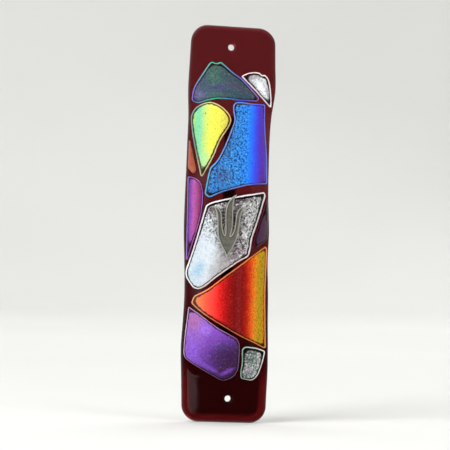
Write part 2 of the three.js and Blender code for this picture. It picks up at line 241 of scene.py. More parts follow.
# %% The strip's form
LENGTH = 177.16
CORNER_RADIUS = 7.5
GLASS_THICKNESS = 4
EDGE_HEIGHT = 1.3
FRONT_EDGE_RADIUS = 2.6
BACK_EDGE_RADIUS = 1.2
SIDE_STATIONS = np.array([  # height, left edge, right edge
    [-90, -18.9, 18.7],
    [-78, -19.2, 18.8],
    [-66, -19.65, 19.15],
    [-55, -20.0, 19.05],
    [-43, -19.4, 18.7],
    [-31, -19.05, 18.5],
    [-16, -19.5, 17.95],
    [-3, -20.05, 18.2],
    [12, -19.95, 17.5],
    [24, -19.7, 17.35],
    [38, -19.5, 17.4],
    [48, -19.35, 17.9],
    [60, -19.75, 19.4],
    [72, -19.4, 19.1],
    [90, -18.7, 18.6],
])
TOP_SLOPE = 0.04  # the top end is cut a little out of square
TOP_SLOPE_FROM = 74
TOP_SLOPE_PIVOT = -2.5
ARCH_RISE = 6.8
ARCH_TOP_HALF = 7.5
ARCH_FLANK = 10
ARCH_FULL_HALF = 50  # full height up to here, in mm from the middle
ARCH_END_HALF = 68  # and flat again from here


def smoothstep(value, low, high):
    t = np.clip((value - low) / (high - low), 0, 1)
    return t * t * (3 - 2 * t)


def side_edge(z, column):
    """The left (1) or right (2) edge at height z, by a cubic through the stations."""
    heights = SIDE_STATIONS[:, 0]
    edges = SIDE_STATIONS[:, column]
    last = len(heights) - 1
    upper = np.clip(np.searchsorted(heights, z), 1, last)
    before, after = np.clip(upper - 2, 0, last), np.clip(upper + 1, 0, last)
    span = heights[upper] - heights[upper - 1]
    t = (z - heights[upper - 1]) / span
    slope_low = (edges[upper] - edges[before]) / (heights[upper] - heights[before]) * span
    slope_high = (edges[after] - edges[upper - 1]) / (heights[after] - heights[upper - 1]) * span
    return (
        (2 * t**3 - 3 * t**2 + 1) * edges[upper - 1]
        + (t**3 - 2 * t**2 + t) * slope_low
        + (3 * t**2 - 2 * t**3) * edges[upper]
        + (t**3 - t**2) * slope_high
    )


def corner_inset(z):
    past = np.clip(np.abs(z) - (LENGTH / 2 - CORNER_RADIUS), 0, CORNER_RADIUS)
    return CORNER_RADIUS - np.sqrt(CORNER_RADIUS**2 - past**2)


def edge_distance(x, z):
    side = np.minimum(x - side_edge(z, 1), side_edge(z, 2) - x)
    end = LENGTH / 2 - np.abs(z)
    corner = CORNER_RADIUS - np.hypot(CORNER_RADIUS - side, CORNER_RADIUS - end)
    in_corner = (side < CORNER_RADIUS) & (end < CORNER_RADIUS)
    return np.where(in_corner, corner, np.minimum(side, end))


def quarter_round(distance, radius):
    left = 1 - np.clip(distance / radius, 0, 1)
    return np.sqrt(np.maximum(0, 1 - left**2))


def arch_height(x, z):
    across = smoothstep(np.abs(x), ARCH_TOP_HALF, ARCH_TOP_HALF + ARCH_FLANK)
    along = smoothstep(np.abs(z), ARCH_FULL_HALF, ARCH_END_HALF)
    return ARCH_RISE * (1 - across) * (1 - along)


def front_y(x, z):
    rounding = quarter_round(edge_distance(x, z), FRONT_EDGE_RADIUS)
    return -arch_height(x, z) - EDGE_HEIGHT - (GLASS_THICKNESS - EDGE_HEIGHT) * rounding


def back_y(x, z):
    rounding = quarter_round(edge_distance(x, z), BACK_EDGE_RADIUS)
    return -arch_height(x, z) - EDGE_HEIGHT * (1 - rounding)


print("strip:", LENGTH, "mm high, arch", ARCH_RISE, "mm off the wall")

# %% [markdown]
# One grid makes only one face of the slab. So it is copied, each copy is moved by its own formula, and
# both keep the same rim, so merging the doubled rim points closes the slab. The rows are crowded towards
# the edges, because that is where the glass turns.

# %% Front and back sheets, from one grid
TRIM = 0.02  # keeps the smooth edge inside the frame's straight facets
GRID_ACROSS = 72
GRID_UP = 260


RIM = 0.9999  # a grid runs from -1 to 1, so beyond this a point is on its rim


def crowd(share):
    """Spreads -1..1 so that it is crowded towards both ends, where the edges are round."""
    return 1.5 * share - 0.5 * share**3


def shape_sheet(sheet, depth_of):
    grid = points_of(sheet) * MM
    z = crowd(grid[:, 1]) * LENGTH / 2
    left = side_edge(z, 1) + corner_inset(z) + TRIM
    right = side_edge(z, 2) - corner_inset(z) - TRIM
    x = (left + right) / 2 + crowd(grid[:, 0]) * (right - left) / 2
    on_rim_highlight = np.abs(grid).max(axis=1) > RIM
    y = np.where(on_rim_highlight, -arch_height(x, z) - EDGE_HEIGHT, depth_of(x, z))
    slope = TOP_SLOPE * (x - TOP_SLOPE_PIVOT) * smoothstep(z, TOP_SLOPE_FROM, LENGTH / 2)
    move_points(sheet, x, y, z - slope)


bpy.ops.object.select_all(action="DESELECT")
bpy.ops.mesh.primitive_grid_add(x_subdivisions=GRID_ACROSS, y_subdivisions=GRID_UP, size=2)
strip = bpy.context.object
only(strip)
bpy.ops.object.duplicate()
back_sheet = bpy.context.object
shape_sheet(strip, front_y)
shape_sheet(back_sheet, back_y)
only(strip)
back_sheet.select_set(True)
bpy.ops.object.join()
close_up(strip)
print("strip:", len(strip.data.vertices), "points")

# %% [markdown]
# Each screw hole is drilled through the flat end, and its lips are ground back and fire-polished. The cutter
# is a cylinder whose two end faces are extruded and widened into cones. The cones run on past the glass,
# because a boolean is unreliable where a face of the cutter lies exactly in a face of the glass.

# %% Screw holes
SCREW_HOLES = [(-1.0, 79.0), (1.5, -77.9)]
HOLE_RADIUS = 1.4
FRONT_LIP = (2.3, 0.9)  # radius and depth
BACK_LIP = (1.9, 0.5)
HOLE_SIDES = 48
BEYOND = 1.0  # the cutter's cones run on past the glass
CUTTER_LEAN = 0.1  # in radians: the cutter stands this far off square, sideways


def hole_cutter(x, z):
    bpy.ops.object.select_all(action="DESELECT")
    bpy.ops.mesh.primitive_cylinder_add(
        vertices=HOLE_SIDES,
        radius=HOLE_RADIUS * MM,
        depth=(GLASS_THICKNESS - FRONT_LIP[1] - BACK_LIP[1]) * MM,
        location=(x * MM, (-GLASS_THICKNESS + FRONT_LIP[1] - BACK_LIP[1]) / 2 * MM, z * MM),
        rotation=(math.pi / 2, 0, CUTTER_LEAN),
    )
    cutter = bpy.context.object
    bpy.ops.object.transform_apply(location=True, rotation=True, scale=True)
    for side, (radius, depth) in ((-1, FRONT_LIP), (1, BACK_LIP)):
        bpy.ops.object.mode_set(mode="EDIT")
        bpy.ops.mesh.select_all(action="DESELECT")
        bpy.ops.object.mode_set(mode="OBJECT")
        for face in cutter.data.polygons:
            face.select = face.normal.y * side > 0.9
        bpy.ops.object.mode_set(mode="EDIT")
        slope = (radius - HOLE_RADIUS) / depth
        widen = (radius + slope * BEYOND) / HOLE_RADIUS
        out = {"value": (0, side * (depth + BEYOND) * MM, 0)}
        bpy.ops.mesh.extrude_region_move(TRANSFORM_OT_translate=out)
        bpy.ops.transform.resize(value=(widen, 1, widen), center_override=(x * MM, 0, z * MM))
        bpy.ops.object.mode_set(mode="OBJECT")
    close_up(cutter)
    return cutter


for hole_x, hole_z in SCREW_HOLES:
    cutter = hole_cutter(hole_x, hole_z)
    finish_modifier(strip, "BOOLEAN", operation="DIFFERENCE", solver="EXACT", object=cutter)
    bpy.data.objects.remove(cutter)
print("strip after drilling:", len(strip.data.polygons), "faces")

# %% [markdown]
# The glass is a selenium red: nearly black where it is thick, wine red where light comes through. A closed
# mesh with full transmission bends the light as the slab does, and darkens its own rounded edges. The colour
# is darker towards the foot, and along the rounded edge there it is painted lighter, as a painted highlight.
# Its IOR of 1.52 is that of soda-lime glass. A faint ripple 14 mm across is what the kiln leaves.

# %% Finish: selenium-red glass
SODA_LIME_IOR = 1.52


def red_glass():
    material, tree, shader = new_finish("selenium_red_glass")
    coordinate = add_node(tree, "ShaderNodeTexCoord").outputs["Object"]
    height = add_node(tree, "ShaderNodeSeparateXYZ", {"Vector": coordinate}).outputs["Z"]
    wander = add_math(tree, "MULTIPLY", add_math(tree, "SUBTRACT", grain(tree, 30), 0.5), 0.03)
    place = add_range(tree, add_math(tree, "ADD", height, wander), -0.085, 0.06)
    foot_to_head = [
        (0.0, "#260203"),
        (0.12, "#2c0304"),
        (0.4, "#4e0f13"),
        (0.75, "#60191d"),
        (1.0, "#692024"),
    ]
    colour = add_ramp(tree, place, foot_to_head)
    # painted highlight: near the foot, a band along the rounded edge is painted lighter, as the light it
    # catches
    inside = add_node(tree, "ShaderNodeAttribute", attribute_name="edge_mm").outputs["Fac"]
    uneven = add_math(tree, "MULTIPLY", grain(tree, 7, detail=3), 2.0)
    painted_light_edge = add_range(tree, add_math(tree, "ADD", inside, uneven), 5.5, 3.0)
    near_foot = add_range(tree, height, -0.058, -0.075, 0.0, 0.85)
    colour = add_mix(tree, add_math(tree, "MULTIPLY", painted_light_edge, near_foot), colour, srgb("#5e1014"))
    tree.links.new(colour, shader.inputs["Base Color"])
    shader.inputs["Transmission Weight"].default_value = 1.0
    shader.inputs["IOR"].default_value = SODA_LIME_IOR
    shader.inputs["Roughness"].default_value = 0.03
    ripple = grain(tree, 14, detail=1)
    bump = add_node(tree, "ShaderNodeBump", {"Height": ripple, "Strength": 0.15, "Distance": 0.3 * MM})
    tree.links.new(bump.outputs["Normal"], shader.inputs["Normal"])
    return material


strip_points = points_of(strip)
keep_distance(strip, "edge_mm", edge_distance(strip_points[:, 0], strip_points[:, 2]))
settle(strip, "red_glass_strip", "case", "base_glass", red_glass(), math.radians(50))

# %% [markdown]
# ## The dichroic tiles
#
# Each tile is a scrap of dichroic glass under clear glass. In the kiln the clear cap pulls into a low
# dome with a soft shoulder. Its outline is drawn as corners with radii, as the glass would be cut, and
# the dome is built by extruding that line inwards, ring by ring, as by hand. The rings crowd at the rim,
# where the shoulder turns fastest.

# %% Outlines, in mm: across, up, corner radius
TILES = {
    "tile_teal_peak": [
        (-10.4, 71.9, 0.9), (-9.0, 72.5, 0.7), (-7.5, 71.6, 1.2), (-5.3, 72.6, 0.9), (-3.6, 71.2, 1.2),
        (0.4, 67.7, 4), (4.4, 65.2, 3), (12.4, 56.4, 0.9), (11.4, 54.8, 0.8), (4.3, 54.8, 3),
        (-5.1, 55.7, 4), (-10.1, 54.9, 3), (-15.1, 53.3, 1.5), (-18.2, 54.6, 1.5), (-17.5, 60.6, 3),
    ],
    "tile_silver_crest": [
        (3.7, 66.1, 0.7), (6.2, 67.7, 1.5), (10, 68.4, 2), (12.2, 68.0, 0.6), (13.2, 66.9, 0.6),
        (14.6, 67.3, 1.2), (16.2, 65.4, 1.5), (17.2, 62.0, 3), (17.8, 56, 2), (17.8, 52.4, 0.6),
        (16.7, 52.7, 0.6), (10.8, 59, 4),
    ],
    "tile_gold_drop": [
        (-10.3, 54.5, 2.2), (-6.4, 53.5, 2), (-3.1, 51.4, 2), (-0.6, 48.6, 1.6), (0.2, 46.2, 1.2),
        (-0.6, 43.5, 2), (-4.7, 37.2, 3), (-7.2, 30, 3), (-12.2, 20.7, 0.7), (-13.1, 21.1, 0.6),
        (-15.5, 30.8, 4), (-17.5, 40.1, 4), (-18.4, 48.3, 2.5), (-15.8, 52.5, 2.5),
    ],
    "tile_blue_pane": [
        (0.6, 53.0, 0.8), (1.8, 54.4, 0.8), (5, 54.5, 2), (8.4, 53.9, 2), (15, 53.9, 0.8), (15.1, 45, 3),
        (16.5, 30, 5), (16.9, 18.3, 0.8), (8.4, 17.6, 4), (-3.5, 14.1, 4), (-8.9, 11.4, 0.9),
        (-11.2, 13.2, 0.9), (-9.7, 22, 2), (-8.8, 25.2, 1.0), (-6.2, 27.6, 2), (-3.6, 32.4, 3),
        (-0.9, 39.5, 3), (1.5, 46.2, 2), (0.5, 50.4, 1.8),
    ],
    "tile_copper_sliver": [
        (-18.8, 37, 0.4), (-18, 37, 0.3), (-15.9, 28, 2), (-15, 23.4, 1), (-16.4, 21.9, 1),
        (-18.9, 24.6, 1.2),
    ],
    "tile_magenta_crescent": [
        (-18.9, 21, 0.8), (-16.5, 20.9, 1.5), (-13.1, 19, 2), (-11.5, 14.5, 3), (-11.9, 6, 4),
        (-13.3, -0.6, 3), (-17.9, -16.4, 0.7), (-18.7, -16.6, 0.3),
    ],
    "tile_silver_diamond": [
        (-10.4, 8.3, 1.3), (-7.4, 9.9, 1.5), (-1.4, 11.4, 2), (5, 12.9, 3), (15.6, 14.9, 0.9),
        (16.4, 13.3, 0.8), (13.1, 1.2, 4), (10.6, -6.1, 3), (10.2, -10.5, 2), (9.4, -14.1, 1.2),
        (5.2, -16.4, 2), (-5.1, -23.9, 4), (-9.5, -27.9, 2), (-12.6, -29.5, 1.2), (-15.2, -28.9, 1.4),
        (-18.7, -24, 1.6), (-18.8, -21, 1.2), (-15.4, -10.5, 4),
    ],
    "tile_plum_sliver": [
        (17, 12.6, 0.6), (17.7, 4, 4), (17.6, -6.6, 1.2), (12, -10.8, 0.8), (11.4, -7.2, 1.2),
    ],
    "tile_flame_wedge": [
        (16.8, -9.2, 0.8), (17.6, -10.6, 0.6), (17.2, -30, 6), (18.1, -54.8, 0.5), (17, -55.0, 0.5),
        (11.8, -52.2, 3), (5.5, -49.3, 3), (-6.4, -42.6, 4), (-12.6, -38.6, 3), (-16, -35.6, 1),
        (-14.8, -32.2, 1.4), (-8.9, -29.2, 4), (0, -22.0, 4), (6.0, -17.5, 3), (11.1, -13.3, 3),
    ],
    "tile_violet_pane": [
        (-17, -37, 0.8), (-10.8, -40.9, 4), (-4.5, -45.5, 4), (0, -47.9, 3), (5.2, -50.6, 1.2),
        (6.3, -52.7, 1.5), (6.5, -58.8, 4), (6.0, -65.2, 2), (3.6, -68.6, 2), (-1.1, -70.1, 1.5),
        (-5.1, -68, 3), (-12.6, -63.9, 4), (-17.6, -60.7, 1.5), (-18.8, -58.5, 1.5), (-18.4, -50, 4),
    ],
    "tile_silver_pebble": [
        (7.2, -55.4, 0.8), (8.2, -54.4, 0.6), (9.6, -54.0, 0.8), (14, -54.6, 1.4), (17.9, -56.0, 0.9),
        (17.0, -61, 3), (14.8, -67.4, 1.6), (12.2, -69.7, 1.4), (7, -68.8, 1.2), (6.9, -65.0, 1.0),
        (7.5, -61.5, 1.5),
    ],
}
OUTLINE_STEP = 0.45
ROUNDING_STEPS = 9


def rounded_outline(corners, step=OUTLINE_STEP):
    """Corners with radii as a closed line of points about step apart, run anticlockwise."""
    points = []
    for i, (x, z, radius) in enumerate(corners):
        corner = np.array([x, z])
        ends = []
        for neighbour in (corners[i - 1], corners[(i + 1) % len(corners)]):
            way = np.array(neighbour[:2]) - corner
            length = np.hypot(*way)
            ends.append(corner + way / length * min(radius, length / 2))
        for t in np.linspace(0, 1, ROUNDING_STEPS):
            points.append((1 - t) ** 2 * ends[0] + 2 * t * (1 - t) * corner + t**2 * ends[1])
    points = np.array(points + points[:1])
    walked = np.concatenate([[0], np.cumsum(np.hypot(*np.diff(points, axis=0).T))])
    places = np.linspace(0, walked[-1], int(walked[-1] / step) + 1)[:-1]
    line = np.stack([np.interp(places, walked, points[:, k]) for k in (0, 1)], axis=1)
    after = np.roll(line, -1, axis=0)
    area = np.sum(line[:, 0] * after[:, 1] - after[:, 0] * line[:, 1])
    return line if area > 0 else line[::-1]


print(len(TILES), "outlines with", sum(len(corners) for corners in TILES.values()), "corners")

# %% [markdown]
# The finish needs to know how far each point lies from the cut edge. The plain distance has a crease
# along the middle of every corner. A softened one has none: each bit of edge counts for less the further
# it is, the counts are added up, and the sum is looked up against what a long straight edge would give.

# %% Distance from the edge
SOFTNESS = 1.1  # per mm: how far apart two edges still count together
FARTHEST = 30
straight_gaps = np.linspace(0.01, FARTHEST, 900)
along_edge, edge_step = np.linspace(-FARTHEST, FARTHEST, 2401, retstep=True)
straight_counts = np.exp(-SOFTNESS * np.hypot(straight_gaps[:, None], along_edge))
straight_totals = straight_counts.sum(axis=1) * edge_step


def outline_distances(x, z, outline):
    """How far each point is from the outline, sharp and softened so that corners count as nearer."""
    start, end = outline, np.roll(outline, -1, axis=0)
    way = end - start
    length_squared = (way**2).sum(axis=1)
    points = np.stack([x, z], axis=1)[:, None, :]
    share = np.clip(((points - start) * way).sum(axis=2) / length_squared, 0, 1)
    gaps = np.sqrt((((points - start) - share[..., None] * way) ** 2).sum(axis=2))
    total = (np.exp(-SOFTNESS * gaps) * np.sqrt(length_squared)).sum(axis=1)
    soft = np.interp(-np.log(total), -np.log(straight_totals), straight_gaps)
    return gaps.min(axis=1), soft


print("a straight edge 1 mm away gives", round(float(np.interp(1, straight_gaps, straight_totals)), 3))

# %% [markdown]
# The dome starts as a ring of edges. Each extrusion shrinks the ring towards the middle, and the last one is
# merged to a point. The flat sheet is then lifted by how far each point lies inside the rim. A copy of it,
# pressed into the strip, is the underside, so that the tile is a closed body sunk into the glass below.

# %% Domes, by extruding each outline inwards
RIM_SINK = 0.2  # the dome's rim starts this far inside the strip's glass
DOME_HEIGHT = 1.9  # above the strip
SHOULDER = 2.8
SHOULDER_POWER = 2.3
BURIED = 0.5  # how deep the underside lies in the strip
RIM_RINGS = 14
INNER_RINGS = 13
RIM_REACH = 0.30  # share of the way to the middle that the rim rings take


def ring_shares():
    rim = [1 - RIM_REACH * (i / RIM_RINGS) ** 2 for i in range(RIM_RINGS + 1)]
    inner = [(1 - RIM_REACH) * (1 - i / INNER_RINGS) for i in range(1, INNER_RINGS)]
    return rim + inner


MIDDLES = {"tile_blue_pane": (8.0, 34.0)}  # a bent outline needs its rings' middle further in
ON_RIM = 1e-4  # mm


def ringed_sheet(outline, middle):
    """A flat sheet in the plane y = 0, filled with rings that shrink towards its middle."""
    bpy.ops.object.select_all(action="DESELECT")
    bpy.ops.mesh.primitive_circle_add(vertices=len(outline), radius=MM, fill_type="NOTHING")
    sheet = bpy.context.object
    move_points(sheet, outline[:, 0], 0, outline[:, 1])
    bpy.ops.object.mode_set(mode="EDIT")
    bpy.ops.mesh.select_all(action="SELECT")
    shares = ring_shares()
    centre = (middle[0] * MM, 0, middle[1] * MM)
    for outer, inner in zip(shares, shares[1:]):
        bpy.ops.mesh.extrude_edges_move()
        bpy.ops.transform.resize(value=(inner / outer, 1, inner / outer), center_override=centre)
    bpy.ops.mesh.merge(type="CENTER")
    bpy.ops.object.mode_set(mode="OBJECT")
    return sheet


def dome_profile(distance):
    """Height over the strip at a distance inside the rim."""
    left = 1 - np.clip(distance / SHOULDER, 0, 1)
    return -RIM_SINK + (DOME_HEIGHT + RIM_SINK) * (1 - left**SHOULDER_POWER) ** (1 / SHOULDER_POWER)


def underside(distance):
    return np.where(distance > ON_RIM, -BURIED, -RIM_SINK)


def tile_glass(node):
    """The closed dome of one tile, with how far each point lies inside the outline kept on its mesh."""
    outline = rounded_outline(TILES[node])
    top = ringed_sheet(outline, MIDDLES.get(node, outline.mean(axis=0)))
    bpy.ops.object.duplicate()
    under = bpy.context.object
    for sheet, height_of in ((top, dome_profile), (under, underside)):
        flat = points_of(sheet)
        x, z = flat[:, 0], flat[:, 2]
        distance, _ = outline_distances(x, z, outline)
        inside = np.where(distance < ON_RIM, 0, distance)
        move_points(sheet, x, front_y(x, z) - height_of(inside), z)
    only(top)
    under.select_set(True)
    bpy.ops.object.join()
    close_up(top)
    place = points_of(top)
    sharp, soft = outline_distances(place[:, 0], place[:, 2], outline)
    keep_distance(top, "edge_mm", sharp)
    keep_distance(top, "film_mm", soft)
    return top


# %% [markdown]
# ## The dichroic finish
#
# The film is a stack of metal oxides a few hundred atoms thick. It throws back one colour and lets the
# rest through, and the colour slides towards the next one where the glass turns away, so a tile on the
# arch has bands of colour along its length. Seen through the clear cap, the cut edge of the film shows as
# a line round the rim in the film's own colours, painted bright as a highlight. Then comes a dark gap, the
# red strip seen through clear glass, painted darker than the strip as shade, then a painted line of shade
# along the field's edge, and then the field. The outermost sliver of the rim is painted in the gap's dark,
# as shade.
# A clear coat over a satin, slightly metallic base gives that look: the coat is the cap, the base is the
# film. The field's crackle is where the film tore into islands under heat, 0.6 to 1.5 mm across, and the
# dark specks are bubbles.

# %% Finish: dichroic film under clear glass
BUBBLE_SPACING = 3.2


def dichroic(name, middle, span, field, rim, turn=0.0, patches=(), rim_mm=0.58, gap_mm=1.0, lean=(0, 0),
             gap="#2c060a", crackle=0.0, crackle_mm=1.2, crackle_dark="#2a2228", calm=None, sparkle=0.0,
             sparkle_tone="#ffffff", bubbles=0.0, metal=0.2, wobble=1.2, line=0.75):
    """Colours of the field and of the rim run over span, in mm along X turned by turn degrees. A patch is
    (x, z, wide, high, turn, colour, strength). lean widens the gap by so much per mm across and up. calm is
    the direction in degrees, and the two distances, over which the crackle dies away."""
    # gap is the colour of the dark gap, partly painted shade, and line says how strong the painted line of
    # shade is
    material, tree, shader = new_finish(name)
    coordinate = add_node(tree, "ShaderNodeTexCoord").outputs["Object"]

    def along(x, z, offset_mm):
        inputs = {0: coordinate, 1: (x / MM, 0, z / MM)}
        run = add_node(tree, "ShaderNodeVectorMath", inputs, operation="DOT_PRODUCT")
        return add_math(tree, "ADD", run.outputs["Value"], offset_mm)

    def ramp_along(stops, stir_mm):
        angle = math.radians(turn)
        place = along(math.cos(angle), math.sin(angle), -span[0])
        stir = add_math(tree, "MULTIPLY", add_math(tree, "SUBTRACT", grain(tree, 5, detail=3), 0.5), stir_mm)
        share = add_math(tree, "DIVIDE", add_math(tree, "ADD", place, stir), span[1] - span[0])
        return add_ramp(tree, share, [((p - span[0]) / (span[1] - span[0]), code) for p, code in stops])

    colour = ramp_along(field, 1.6)
    for x, z, wide, tall, lean_patch, code, strength in patches:
        inputs = {
            "Vector": coordinate,
            "Location": (x * MM, 0, z * MM),
            "Rotation": (0, math.radians(-lean_patch), 0),
            "Scale": (wide * MM, 1.0, tall * MM),
        }
        local = add_node(tree, "ShaderNodeMapping", inputs, vector_type="TEXTURE").outputs["Vector"]
        flat = add_node(tree, "ShaderNodeVectorMath", {0: local, 1: (1, 0, 1)}, operation="MULTIPLY")
        reach = add_node(tree, "ShaderNodeVectorMath", {0: flat.outputs[0]}, operation="LENGTH")
        stir = add_math(tree, "MULTIPLY", grain(tree, 2.5, detail=3), 0.8)
        stirred = add_math(tree, "ADD", reach.outputs["Value"], stir)
        colour = add_mix(tree, add_range(tree, stirred, 1.7, 0.6, 0.0, strength), colour, srgb(code))

    if crackle:
        cells = grain(tree, crackle_mm, detail=5, roughness=0.7)
        dark = add_range(tree, cells, 0.50, 0.43, 0.0, crackle)
        bright = add_range(tree, cells, 0.56, 0.62, 0.0, sparkle)
        if calm:
            angle = math.radians(calm[0])
            place = along(math.cos(angle), math.sin(angle), 0.0)
            left_over = add_range(tree, place, calm[1], calm[2], 1.0, calm[3])
            dark = add_math(tree, "MULTIPLY", dark, left_over)
            bright = add_math(tree, "MULTIPLY", bright, left_over)
        colour = add_mix(tree, dark, colour, srgb(crackle_dark))
        colour = add_mix(tree, bright, colour, srgb(sparkle_tone))
        inputs = {"Height": cells, "Strength": 0.5, "Distance": 0.2 * MM}
        bump = add_node(tree, "ShaderNodeBump", inputs)
        tree.links.new(bump.outputs["Normal"], shader.inputs["Normal"])
    if bubbles:
        inputs = {"Vector": coordinate, "Scale": 1 / (BUBBLE_SPACING * MM), "Randomness": 1.0}
        seeds = add_node(tree, "ShaderNodeTexVoronoi", inputs)
        chance = add_node(tree, "ShaderNodeSeparateColor", {"Color": seeds.outputs["Color"]}).outputs["Red"]
        lucky = add_math(tree, "GREATER_THAN", chance, 1 - bubbles)
        spot = add_range(tree, seeds.outputs["Distance"], 0.15, 0.08, 0.0, 0.8)
        colour = add_mix(tree, add_math(tree, "MULTIPLY", spot, lucky), colour, srgb("#3a2a20"))

    sharp = add_node(tree, "ShaderNodeAttribute", attribute_name="edge_mm").outputs["Fac"]
    soft = add_node(tree, "ShaderNodeAttribute", attribute_name="film_mm").outputs["Fac"]
    uneven = add_math(tree, "SUBTRACT", grain(tree, 1.8, detail=3), 0.5)
    widening = along(lean[0], lean[1], -lean[0] * middle[0] - lean[1] * middle[1])
    film_place = add_math(tree, "SUBTRACT", soft, widening)
    film_place = add_math(tree, "ADD", film_place, add_math(tree, "MULTIPLY", uneven, wobble))
    rim_place = add_math(tree, "ADD", sharp, add_math(tree, "MULTIPLY", uneven, 0.5))
    # painted shade: the gap shows the red strip, painted darker than it as shade, and a near-black painted
    # line of shade runs along the field's edge
    in_gap = add_range(tree, film_place, gap_mm + 0.1, gap_mm - 0.15)
    line_in = add_range(tree, film_place, gap_mm - 0.35, gap_mm - 0.1)
    line_out = add_range(tree, film_place, gap_mm + 0.4, gap_mm + 0.1)
    on_shade_line = add_math(tree, "MULTIPLY", line_in, line_out)
    # painted highlight: the rim line is the film's edge in its own colours, painted bright; the outermost
    # sliver is painted in the gap's dark, as shade
    on_rim_highlight = add_range(tree, rim_place, rim_mm + 0.12, rim_mm - 0.1)
    outer_edge_shade = add_range(tree, rim_place, 0.12, 0.0)
    colour = add_mix(tree, in_gap, colour, srgb(gap))
    colour = add_mix(tree, add_math(tree, "MULTIPLY", on_shade_line, line), colour, srgb("#0c0406"))
    colour = add_mix(tree, on_rim_highlight, colour, ramp_along(rim, 1.0))
    colour = add_mix(tree, outer_edge_shade, colour, srgb(gap))
    tree.links.new(colour, shader.inputs["Base Color"])
    shader.inputs["Metallic"].default_value = metal
    shader.inputs["Roughness"].default_value = 0.4
    shader.inputs["Specular IOR Level"].default_value = 0.1
    shader.inputs["Coat Weight"].default_value = 1.0
    shader.inputs["Coat Roughness"].default_value = 0.03
    shader.inputs["Coat IOR"].default_value = SODA_LIME_IOR
    return material
